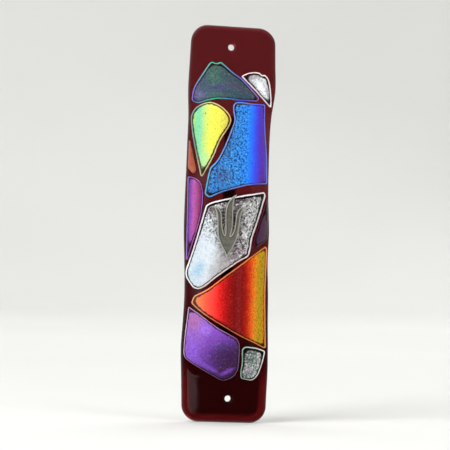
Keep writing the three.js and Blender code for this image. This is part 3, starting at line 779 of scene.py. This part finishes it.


# %% [markdown]
# Each tile is its own scrap of sheet, so each gets its own colours. The field and the rim are lists of
# colours at places in mm along the tile's span. Patches lie over them, most where the film is thinner or
# thicker; a few are painted highlights and one is a painted shadow, as said at each tile.

# %% Colours of the tiles
TILE_FINISHES = {
    "tile_teal_peak": ("teal_dichroic", dict(
        span=(-18, 12),
        field=[
            (-18, "#5e5a7c"), (-13, "#455468"), (-8, "#43635f"), (-2, "#43545e"), (4, "#3a4a55"),
            (12, "#404d55"),
        ],
        rim=[
            (-18, "#7050d0"), (-14.5, "#64a0c0"), (-9, "#40d0b4"), (-6, "#3cc8b0"), (-2, "#48aacc"),
            (3, "#4870dc"), (12, "#8a68bc"),
        ],
        patches=[
            (-8.5, 67, 4.0, 4.0, 0, "#4c6c61", 0.8), (-6, 60.5, 6.5, 2.0, 5, "#4a4872", 0.9),
            (2, 58, 8.0, 1.6, -12, "#2f4a55", 0.7), (-15, 57, 3.5, 2.5, 0, "#66628c", 0.9),
            (2, 61.5, 6.0, 1.2, -30, "#54405c", 0.6),
        ],
        gap_mm=0.8, lean=(0, 0.04), gap="#320a10", crackle=0.45, crackle_mm=0.8,
        crackle_dark="#25323a", sparkle=0.15, sparkle_tone="#90b0b0",
    )),
    "tile_silver_crest": ("silver_dichroic", dict(
        span=(4, 18),
        field=[(4, "#887f88"), (9, "#b0b0b4"), (12, "#c4c6ca"), (15, "#ccced2"), (18, "#a8a8ac")],
        rim=[(4, "#fbe6ea"), (18, "#fff8f8")], gap_mm=0.9, lean=(0, 0.05), rim_mm=0.6,
        patches=[
            (12.6, 61.5, 1.5, 6.0, 38, "#f4f8fa", 0.95), (16.2, 58, 1.0, 4.0, 14, "#a8a8b0", 0.8),
            (9.5, 65.6, 3.0, 0.9, 10, "#8c888c", 0.8),
        ],
        crackle=0.5, crackle_mm=0.8, crackle_dark="#605a60", sparkle=0.5,
    )),
    "tile_gold_drop": ("yellow_dichroic", dict(
        span=(-19, 0),
        field=[
            (-19, "#a8c860"), (-17.2, "#b0e070"), (-15.8, "#84dc9c"), (-14.2, "#7cdcb0"),
            (-12.4, "#b8e484"), (-10, "#e6ee60"), (-6, "#f0ee58"), (-2, "#dcd058"), (0, "#c0b04c"),
        ],
        rim=[
            (-19, "#64887c"), (-16, "#7ca49c"), (-12, "#d8d498"), (-8, "#fae4a4"), (-4, "#fce090"),
            (0, "#fcc474"),
        ],
        patches=[(-11.5, 28, 3.0, 5.0, 0, "#b0eca8", 0.7)], gap_mm=0.85, gap="#300c08", crackle=0.3,
        crackle_mm=0.6, crackle_dark="#7c7420", bubbles=0.6,
    )),
    "tile_blue_pane": ("blue_dichroic", dict(
        span=(-11, 17),
        field=[
            (-11, "#3684d0"), (-6, "#3a7cc8"), (0, "#3c88d4"), (5, "#3488e4"), (8, "#2c84fa"),
            (10, "#3068fc"), (11.2, "#404ef0"), (12.6, "#4c36d0"), (14.2, "#5c30b0"), (15.4, "#5a38b8"),
            (17, "#6058c8"),
        ],
        rim=[
            (-11, "#44c0f4"), (-6, "#50acfa"), (0, "#7c9cec"), (6, "#6496fa"), (12, "#5864f0"),
            (17, "#687af0"),
        ],
        patches=[
            (-3, 21.5, 5.0, 4.0, -20, "#4a5c8c", 0.7), (4, 53.5, 4.0, 1.2, 0, "#5c6068", 0.8),
            (-0.5, 35, 2.0, 7.0, -23, "#3c5c90", 0.6), (14.6, 20, 1.6, 6.0, 0, "#582c90", 0.8),
        ],
        gap_mm=0.75, lean=(-0.025, 0.006), crackle=0.9, crackle_mm=0.9, crackle_dark="#142a50",
        calm=(0, 6.5, 9.5, 0.12), sparkle=0.6, sparkle_tone="#62bcf8", bubbles=0.25,
    )),
    "tile_copper_sliver": ("copper_dichroic", dict(
        span=(-19, -15), field=[(-19, "#a44a3c"), (-17.5, "#bc5c48"), (-15.5, "#c06c50")],
        rim=[(-19, "#984434"), (-16, "#d09070"), (-15, "#e8ac8c")], rim_mm=0.35, gap_mm=-1, line=0,
        gap="#4a0c0c", crackle=0.3, crackle_dark="#6c2418",
    )),
    "tile_magenta_crescent": ("magenta_dichroic", dict(
        span=(-19.5, -11.5),
        field=[
            (-19.5, "#3c2c6c"), (-18.4, "#583484"), (-17.2, "#8c4ab0"), (-16, "#b45cac"),
            (-14.8, "#a84c84"), (-13.6, "#883468"), (-12.4, "#7c3080"), (-11.5, "#64286c"),
        ],
        rim=[(-19.5, "#7050b8"), (-14, "#d48ce4"), (-11.5, "#b070e0")], rim_mm=0.45, gap_mm=0.35,
        gap="#4a1040", crackle=0.25, crackle_mm=1.0, crackle_dark="#5a1c58",
    )),
    "tile_silver_diamond": ("white_silver_dichroic", dict(
        span=(-19, 17),
        field=[
            (-19, "#c4d8e6"), (-10, "#d4dce4"), (-3, "#aeaaac"), (4, "#aaa6a8"), (10, "#bebebe"),
            (17, "#bcbaba"),
        ],
        rim=[(-19, "#f8fcff"), (0, "#ffffff"), (17, "#f4ecec")],
        # The dark patch at (0.5, 2) under the letter is the letter's shadow on the film, painted in.
        patches=[
            (-10, -14, 5.5, 14, -25, "#dce6ee", 0.95), (-12.8, -20.5, 3.0, 5.0, -25, "#a8cce4", 0.9),
            (0.5, 2, 6.0, 9.0, 0, "#5c5450", 0.75), (5.5, -12.5, 4.0, 5.0, 40, "#8c7480", 0.6),
            (-7.5, 6, 3.0, 3.0, 0, "#785c62", 0.8), (6, 10.5, 8.0, 1.5, 12, "#74686e", 0.8),
        ],
        gap_mm=0.95, lean=(0, 0.016), gap="#200a10", line=1.0, crackle=0.9, crackle_mm=0.95,
        crackle_dark="#282026", calm=(225, 5, 14, 0.2), sparkle=0.9, metal=0.25, rim_mm=0.68,
    )),
    "tile_plum_sliver": ("plum_dichroic", dict(
        span=(11, 18.4),
        field=[
            (11, "#3c2040"), (14, "#4c2e48"), (16.4, "#523a4c"), (17.4, "#565062"), (18.4, "#504c58"),
        ],
        rim=[(11, "#54204c"), (18.4, "#6a5078")], rim_mm=0.25, gap_mm=0.25, crackle=0.2,
        crackle_mm=1.5, crackle_dark="#2a1028",
    )),
    "tile_flame_wedge": ("flame_dichroic", dict(
        span=(-16.5, 18),
        # The bright red band near -7 mm is the film's colour with a soft painted highlight in it.
        field=[
            (-16.5, "#ec9450"), (-13, "#f07a44"), (-9.5, "#fa6040"), (-7, "#fc4c42"), (-3.8, "#f02624"),
            (-1.5, "#c81416"), (0.8, "#9c0e10"), (3.5, "#760c0a"), (5.2, "#821a20"), (7, "#800e0c"),
            (8.6, "#a81a0c"), (9.8, "#d4340a"), (11.2, "#f4680e"), (12.6, "#ec9414"), (14.0, "#c4980e"),
            (15.2, "#b09a10"), (16.2, "#cc8c10"), (18, "#d0741c"),
        ],
        rim=[(-16.5, "#f0a45c"), (-8, "#fa8440"), (2, "#e0703a"), (10, "#dc7834"), (18, "#f49830")],
        gap_mm=0.75, lean=(-0.018, -0.006), gap="#48100a", crackle=0.5, crackle_mm=0.7,
        crackle_dark="#5c0a06", calm=(180, 0, 7, 0.2), sparkle=0.12, sparkle_tone="#ff7848",
        rim_mm=0.6,
    )),
    "tile_violet_pane": ("violet_dichroic", dict(
        span=(18, 52), turn=-40,
        # The light upper-left end of the field, and the light patches along the left and lower edges and at
        # (-9, -47), are the film's colour with soft painted highlights in it.
        field=[
            (18, "#9c68cc"), (26, "#8c54c4"), (32, "#7444a8"), (36, "#5c3484"), (40, "#44244e"),
            (46, "#3c1c40"), (52, "#4c2464"),
        ],
        rim=[(18, "#dcb8ea"), (30, "#c090d0"), (40, "#8c6898"), (52, "#9c80b0")],
        patches=[
            (-14, -43, 4.0, 5.0, 0, "#b06ca8", 0.8), (-14.5, -57, 3.0, 6.0, 0, "#9060dc", 0.8),
            (0.8, -65.8, 4.0, 1.1, 28, "#7848bc", 0.85), (-9, -63, 7.0, 1.2, -28, "#8450cc", 0.85),
            (-9, -47, 3.0, 3.0, 0, "#a474e4", 0.8), (-0.5, -58.5, 7.0, 5.0, 0, "#40204a", 0.7),
            (-2, -54.5, 5.0, 1.4, 8, "#3c4a70", 0.5),
        ],
        gap_mm=0.45, gap="#3a1038", rim_mm=0.35, crackle=0.3, crackle_mm=0.9, crackle_dark="#401858",
        sparkle=0.1, sparkle_tone="#c8a0f8", bubbles=0.4,
    )),
    "tile_silver_pebble": ("grey_silver_dichroic", dict(
        span=(7, 18),
        field=[(7, "#848c8c"), (10, "#7c8680"), (12.5, "#748880"), (15, "#a8acac"), (18, "#b8bcba")],
        rim=[(7, "#98c8b4"), (12, "#dce4de"), (18, "#f6f8f4")],
        patches=[(11, -64.5, 2.5, 2.5, 0, "#b0a8b4", 0.8)], gap_mm=0.95, lean=(0, 0.06),
        gap="#14080a", rim_mm=0.5, crackle=0.8, crackle_mm=0.9, crackle_dark="#3a3438", sparkle=0.6,
    )),
}

# %% Make the tiles
TILE_SHARP = math.radians(60)  # edges sharper than this stay sharp

for node, (slot_name, look) in TILE_FINISHES.items():
    glass = tile_glass(node)
    middle = np.mean([corner[:2] for corner in TILES[node]], axis=0)
    finish = dichroic(slot_name + "_glass", middle, **look)
    settle(glass, node.replace("tile_", "") + "_glass", "case", node, finish, TILE_SHARP)

# %% [markdown]
# ## The pewter letter
#
# The letter is cast in one piece: three prongs that sweep up from one pointed foot, with a raised edge
# and a slightly hollow face. It is drawn as a closed line of curves, filled and extruded. A flat face has
# no points to press hollow, so a voxel remesh gives it some, and each is lowered by how far it lies from
# the outline.

# %% Letter
def bezier(start, *runs, steps=10):
    """Points along cubic curves; each run is two handles and an end."""
    points = []
    here = np.array(start, float)
    for first, second, end in runs:
        first, second, end = (np.array(p, float) for p in (first, second, end))
        for t in np.linspace(0, 1, steps, endpoint=False):
            points.append(
                (1 - t) ** 3 * here
                + 3 * t * (1 - t) ** 2 * first
                + 3 * t**2 * (1 - t) * second
                + t**3 * end
            )
        here = end
    return np.array(points)


LETTER = bezier(
    (-0.4, -15.2),
    ((-1.4, -11.5), (-4.6, -8.5), (-4.9, -3.5)),
    ((-5.3, 0.5), (-4.4, 5.4), (-7.2, 7.8)),
    ((-3.0, 8.2), (-2.9, 3.5), (-2.9, 1.0)),
    ((-2.8, -1.5), (-2.2, -3.4), (-1.6, -4.8)),
    ((-1.0, -1.5), (-2.0, 2.5), (-1.5, 6.0)),
    ((-1.0, 9.5), (0.8, 12.4), (3.4, 13.3)),
    ((1.6, 10.5), (1.9, 7.5), (2.0, 4.0)),
    ((2.1, 0.5), (1.8, -2.8), (0.9, -5.2)),
    ((2.6, -3.6), (2.8, -0.5), (3.0, 2.5)),
    ((3.3, 6.2), (4.6, 8.2), (7.3, 8.2)),
    ((5.0, 5.6), (5.3, 1.5), (4.6, -3.0)),
    ((4.0, -8.5), (1.0, -11.5), (-0.4, -15.2)),
)
letter_low, letter_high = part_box("shin_emblem")
VOXEL = 0.14
LETTER_ROUND = 0.55  # how far in from the outline its edge is rounded
LETTER_DROP = 0.5  # how much lower the rounded edge ends
LETTER_HOLLOW = 0.35  # how deep the face is hollow
print("letter:", len(LETTER), "points, face at y", round(letter_low.y / MM, 2), "mm")


def pewter_letter():
    bpy.ops.object.select_all(action="DESELECT")
    bpy.ops.mesh.primitive_circle_add(vertices=len(LETTER), radius=MM, fill_type="NOTHING")
    letter = bpy.context.object
    move_points(letter, LETTER[:, 0], letter_high.y / MM, LETTER[:, 1])
    bpy.ops.object.mode_set(mode="EDIT")
    bpy.ops.mesh.select_all(action="SELECT")
    bpy.ops.mesh.edge_face_add()
    out = {"value": (0, letter_low.y - letter_high.y, 0)}
    bpy.ops.mesh.extrude_region_move(TRANSFORM_OT_translate=out)
    bpy.ops.mesh.select_all(action="SELECT")
    bpy.ops.mesh.normals_make_consistent(inside=False)
    bpy.ops.object.mode_set(mode="OBJECT")
    letter.data.remesh_voxel_size = VOXEL * MM
    bpy.ops.object.voxel_remesh()
    place = points_of(letter)
    x, y, z = place.T
    distance, _ = outline_distances(x, z, LETTER)
    front, back = letter_low.y / MM, letter_high.y / MM
    share = np.clip((back - y) / (back - front), 0, 1)
    rim = quarter_round(distance, LETTER_ROUND)
    hollow = LETTER_HOLLOW * smoothstep(distance, 0.5, 1.2)
    lowered = (1 - rim) * LETTER_DROP + hollow
    move_points(letter, x, y + share * lowered, z)
    finish_modifier(letter, "SMOOTH", factor=0.5, iterations=2)
    keep_distance(letter, "edge_mm", distance)
    return letter


# %% [markdown]
# Pewter is a tin alloy that casts with a fine sandy skin. Handling burnishes its raised edge bright, and
# that bright edge is also a painted highlight; a dull grey patina stays where that edge meets the hollow.
# The sides are painted dark, as the shade between the prongs. The distance kept on the mesh says where.


# %% Finish: cast pewter
def cast_pewter():
    material, tree, shader = new_finish("cast_pewter")
    tone = add_ramp(tree, grain(tree, 1.4, detail=4), [(0.3, "#807f74"), (0.5, "#949388"), (0.7, "#a3a298")])
    inside = add_node(tree, "ShaderNodeAttribute", attribute_name="edge_mm").outputs["Fac"]
    ragged = add_math(tree, "ADD", inside, add_math(tree, "MULTIPLY", grain(tree, 1.0), 0.3))
    patina = add_range(tree, ragged, 1.4, 0.95, 0.0, 0.4)
    tone = add_mix(tree, patina, tone, srgb("#4c4a40"))
    # the raised edge is painted light: burnish, and a painted highlight
    burnish_and_highlight = add_range(tree, ragged, 0.85, 0.55, 0.0, 0.9)
    tone = add_mix(tree, burnish_and_highlight, tone, srgb("#e2e0d4"))
    # painted shade: the letter's sides are painted dark
    shaded_sides = add_range(tree, inside, 0.06, 0.01, 0.0, 0.8)
    tone = add_mix(tree, shaded_sides, tone, srgb("#4c463c"))
    tree.links.new(tone, shader.inputs["Base Color"])
    shader.inputs["Metallic"].default_value = 0.7
    rough = add_range(tree, grain(tree, 0.8, detail=3), 0.3, 0.7, 0.32, 0.48)
    tree.links.new(rough, shader.inputs["Roughness"])
    sand = grain(tree, 0.35, detail=3)
    bump = add_node(tree, "ShaderNodeBump", {"Height": sand, "Strength": 0.3, "Distance": 0.05 * MM})
    tree.links.new(bump.outputs["Normal"], shader.inputs["Normal"])
    return material


settle(pewter_letter(), "pewter_letter", "case", "shin_emblem", cast_pewter())

# %% [markdown]
# The letter stands on a thin bead of clear epoxy, pressed flat between the letter and the tile, with a
# slightly uneven outline where it crept. A sphere is flattened to the frame's box for it and swollen here
# and there.

# %% Glue
glue_low, glue_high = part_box("emblem_adhesive")
CREEP = 0.08  # how unevenly the bead spreads
INSIDE_BOX = 0.95  # keeps the swollen outline from going far past its box


def glue_bead():
    bpy.ops.object.select_all(action="DESELECT")
    bpy.ops.mesh.primitive_uv_sphere_add(segments=48, ring_count=20, radius=MM)
    bead = bpy.context.object
    middle = (glue_low + glue_high) / 2 / MM
    half = (glue_high - glue_low) / 2 / MM
    x, y, z = points_of(bead).T
    swell = np.array([1 + CREEP * noise.noise(Vector((a, 0.5, b)) * 1.5) for a, b in zip(x, z)])
    flat = np.clip(y * 1.8, -1, 1)
    across = x * half.x * swell * INSIDE_BOX
    up = z * half.z * swell * INSIDE_BOX
    move_points(bead, middle.x + across, middle.y + flat * half.y, middle.z + up)
    return bead


def clear_glue():
    material, tree, shader = new_finish("clear_epoxy_glue")
    tone = add_ramp(tree, grain(tree, 1.0), [(0.3, "#cfcabb"), (0.7, "#e2dfd2")])
    tree.links.new(tone, shader.inputs["Base Color"])
    shader.inputs["Roughness"].default_value = 0.2
    shader.inputs["Transmission Weight"].default_value = 0.5
    return material


settle(glue_bead(), "glue_bead", "case", "emblem_adhesive", clear_glue())

# %% [markdown]
# ## The scroll behind the arch
#
# A klaf is a small sheet of parchment, rolled from its end so that it springs open a little, and wrapped in
# clear film to keep the damp out. Both are sheets that follow a spiral. Each starts as a flat grid, whose
# columns are moved onto the spiral, and Solidify then gives it its thickness.


# %% Rolled sheets
CUT_WAVE = 0.25  # the cut ends aren't quite square
STEPS_PER_TURN = 48


def rolled_sheet(radius, turns, pitch, height, thickness, middle, start_angle, rows=24):
    steps = int(STEPS_PER_TURN * turns)
    angle = start_angle + 2 * math.pi * turns * np.linspace(0, 1, steps + 1)
    reach = radius - thickness / 2 - pitch * turns * np.linspace(0, 1, steps + 1)
    bpy.ops.object.select_all(action="DESELECT")
    bpy.ops.mesh.primitive_grid_add(x_subdivisions=steps, y_subdivisions=rows, size=2)
    sheet = bpy.context.object
    grid = points_of(sheet) * MM
    column = np.rint((grid[:, 0] + 1) / 2 * steps).astype(int)
    wave = CUT_WAVE * np.sin(angle[column] * 0.7 + 1)
    x = middle.x / MM + reach[column] * np.cos(angle[column])
    y = middle.y / MM + reach[column] * np.sin(angle[column])
    reach_up = height / 2 - CUT_WAVE + wave * np.sign(grid[:, 1])
    move_points(sheet, x, y, middle.z / MM + grid[:, 1] * reach_up)
    finish_modifier(sheet, "SOLIDIFY", thickness=thickness * MM, offset=0.0)
    close_up(sheet, 0.0005)
    return sheet


# %% [markdown]
# Parchment is scraped calfskin: matt, cream to tan in soft clouds, with fine darker specks where the hair
# grew, and it lets a little light in. The film is clear polypropylene, thin enough that mostly its shine
# shows, with long soft creases where it was pulled tight.


# %% Finishes: parchment and film
def aged_parchment():
    material, tree, shader = new_finish("calfskin_parchment")
    follicles = grain(tree, 0.5, detail=4)
    clouds = grain(tree, 9, detail=3)
    tone = add_ramp(tree, clouds, [(0.3, "#bfa46a"), (0.5, "#d0b986"), (0.7, "#dfcda2")])
    tone = add_mix(tree, add_range(tree, follicles, 0.52, 0.7, 0.0, 0.35), tone, srgb("#94743c"))
    tree.links.new(tone, shader.inputs["Base Color"])
    shader.inputs["Roughness"].default_value = 0.7
    shader.inputs["Subsurface Weight"].default_value = 0.15
    shader.inputs["Subsurface Radius"].default_value = (0.8 * MM, 0.5 * MM, 0.3 * MM)
    bump = add_node(tree, "ShaderNodeBump", {"Height": follicles, "Strength": 0.35, "Distance": 0.06 * MM})
    tree.links.new(bump.outputs["Normal"], shader.inputs["Normal"])
    return material


def clear_film():
    material, tree, shader = new_finish("clear_polypropylene_film")
    tone = add_ramp(tree, grain(tree, 12, stretch=(1, 1, 0.3)), [(0.3, "#dfe8ec"), (0.7, "#f4f8fa")])
    tree.links.new(tone, shader.inputs["Base Color"])
    shader.inputs["Roughness"].default_value = 0.12
    shader.inputs["Alpha"].default_value = 0.22
    crinkle = grain(tree, 5, detail=2, stretch=(1, 1, 0.25))
    bump = add_node(tree, "ShaderNodeBump", {"Height": crinkle, "Strength": 0.5, "Distance": 0.3 * MM})
    tree.links.new(bump.outputs["Normal"], shader.inputs["Normal"])
    return material


# %% Roll them up
ROLL_SHARP = math.radians(40)
roll_low, roll_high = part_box("scroll_wrap")
roll_middle = (roll_low + roll_high) / 2
parchment = rolled_sheet(2.7, 3.5, 0.5, 96, 0.22, roll_middle, 0.8)
calfskin = aged_parchment()
settle(parchment, "rolled_parchment", "scroll", "scroll_parchment", calfskin, ROLL_SHARP)
wrap = rolled_sheet(3.08, 1.2, 0.1, 98, 0.05, roll_middle, 2.2)
settle(wrap, "film_wrap", "scroll", "scroll_wrap", clear_film(), ROLL_SHARP)

# %% [markdown]
# ## Stage and light
#
# Glass shows what stands around it, so the room matters as much as the material. A pale floor sweeps up
# into a wall on all four sides, so that no view meets its edge. It is a cube without a top, whose lower
# edges are bevelled round, with its faces turned inwards. It is hidden from glossy rays, so it isn't
# mirrored in the glass.

# %% Floor and backdrop
FLOOR_Z = strip_low.z
WALL_Y = 2.6  # how far the walls stand from the middle, in metres
SWEEP = 1.2
SWEEP_STEPS = 16


def pale_stage():
    """A floor whose four sides sweep up into walls, open at the top."""
    bpy.ops.object.select_all(action="DESELECT")
    bpy.ops.mesh.primitive_cube_add(size=2 * WALL_Y, location=(0, 0, FLOOR_Z + WALL_Y))
    floor = bpy.context.object
    bpy.ops.object.transform_apply(location=True, rotation=True, scale=True)
    bpy.ops.object.mode_set(mode="EDIT")
    bpy.ops.mesh.select_all(action="DESELECT")
    bpy.ops.object.mode_set(mode="OBJECT")
    for face in floor.data.polygons:
        face.select = face.normal.z > 0.9
    bpy.ops.object.mode_set(mode="EDIT")
    bpy.ops.mesh.delete(type="FACE")
    bpy.ops.mesh.select_all(action="DESELECT")
    bpy.ops.object.mode_set(mode="OBJECT")
    for edge in floor.data.edges:
        edge.select = min(floor.data.vertices[i].co.z for i in edge.vertices) < FLOOR_Z + 0.01
    bpy.ops.object.mode_set(mode="EDIT")
    bpy.ops.mesh.bevel(offset=SWEEP, segments=SWEEP_STEPS, offset_type="OFFSET")
    bpy.ops.mesh.select_all(action="SELECT")
    bpy.ops.mesh.normals_make_consistent(inside=True)
    bpy.ops.object.mode_set(mode="OBJECT")
    bpy.ops.object.shade_smooth()
    floor.name = "pale_floor"
    material, tree, shader = new_finish("pale_paper")
    tone = add_ramp(tree, grain(tree, 400), [(0.3, "#dcdcda"), (0.7, "#e0e0de")])
    tree.links.new(tone, shader.inputs["Base Color"])
    shader.inputs["Roughness"].default_value = 0.9
    shader.inputs["Specular IOR Level"].default_value = 0.2
    floor.data.materials.append(material)
    floor.visible_glossy = False
    print("floor at z", round(FLOOR_Z / MM, 1), "mm")


pale_stage()

# %% [markdown]
# Large soft boxes at both sides, above and behind light the case and the walls. They are hidden from glossy
# rays too, because each would draw a hard white band on the shoulders. Only a small, faint, pinkish disc in
# front is mirrored: it gives the flat glass at the foot its mauve sheen.


# %% Soft boxes
def soft_box(name, place, target, size, power, mirrored=True, shape="RECTANGLE"):
    """An area light; one that isn't mirrored lights things without showing in gloss."""
    light = bpy.data.lights.new(name, "AREA")
    light.shape = shape
    light.size, light.size_y = size
    light.energy = power
    box = bpy.data.objects.new(name, light)
    bpy.context.scene.collection.objects.link(box)
    box.location = place
    box.rotation_euler = (Vector(target) - Vector(place)).to_track_quat("-Z", "Y").to_euler()
    box.visible_camera = False
    box.visible_glossy = mirrored
    return box


soft_box("key_left", (-1.0, -1.1, 0.9), (0, 0, 0), (0.9, 1.2), 29, mirrored=False)
soft_box("fill_right", (1.3, -1.1, 0.2), (0, 0, 0), (0.9, 1.2), 18.5, mirrored=False)
low_card = soft_box("low_card", (-0.06, -1.3, -0.161), (0, 0, -0.161), (0.076, 0.076), 0.011, shape="DISK")
low_card.data.color = (1.0, 0.72, 0.76)
soft_box("wall_wash", (-0.9, 0.8, 1.7), (-0.2, 2.6, 0.2), (2.0, 0.8), 11, mirrored=False)
soft_box("ceiling", (0, 0, 3.4), (0, 0, 0), (4.0, 4.0), 32, mirrored=False)
soft_box("back_fill", (0.8, 1.2, 0.9), (0, 0, 0), (1.2, 1.2), 8, mirrored=False)

# %% [markdown]
# Beyond the lights, the world is a plain grey room, which the gloss does mirror. It is nearly dark on the
# camera's side, so that the flat glass looks deep, and brighter behind, above and to the left.

# %% The room
world = bpy.data.worlds.new("soft_room")
bpy.context.scene.world = world
world.use_nodes = True
room = world.node_tree
direction = add_node(room, "ShaderNodeTexCoord").outputs["Generated"]
parts = add_node(room, "ShaderNodeSeparateXYZ", {"Vector": direction}).outputs
behind = add_range(room, parts["Y"], -0.9, 0.7, 0.02, 0.5)
above = add_range(room, parts["Z"], -0.9, 0.9, 0.7, 1.3)
left = add_range(room, parts["X"], 0.9, -0.9, 0.5, 1.3)
strength = add_math(room, "MULTIPLY", add_math(room, "MULTIPLY", behind, above), left)
background = room.nodes["Background"]
room.links.new(strength, background.inputs["Strength"])
background.inputs["Color"].default_value = (1, 1, 1, 1)
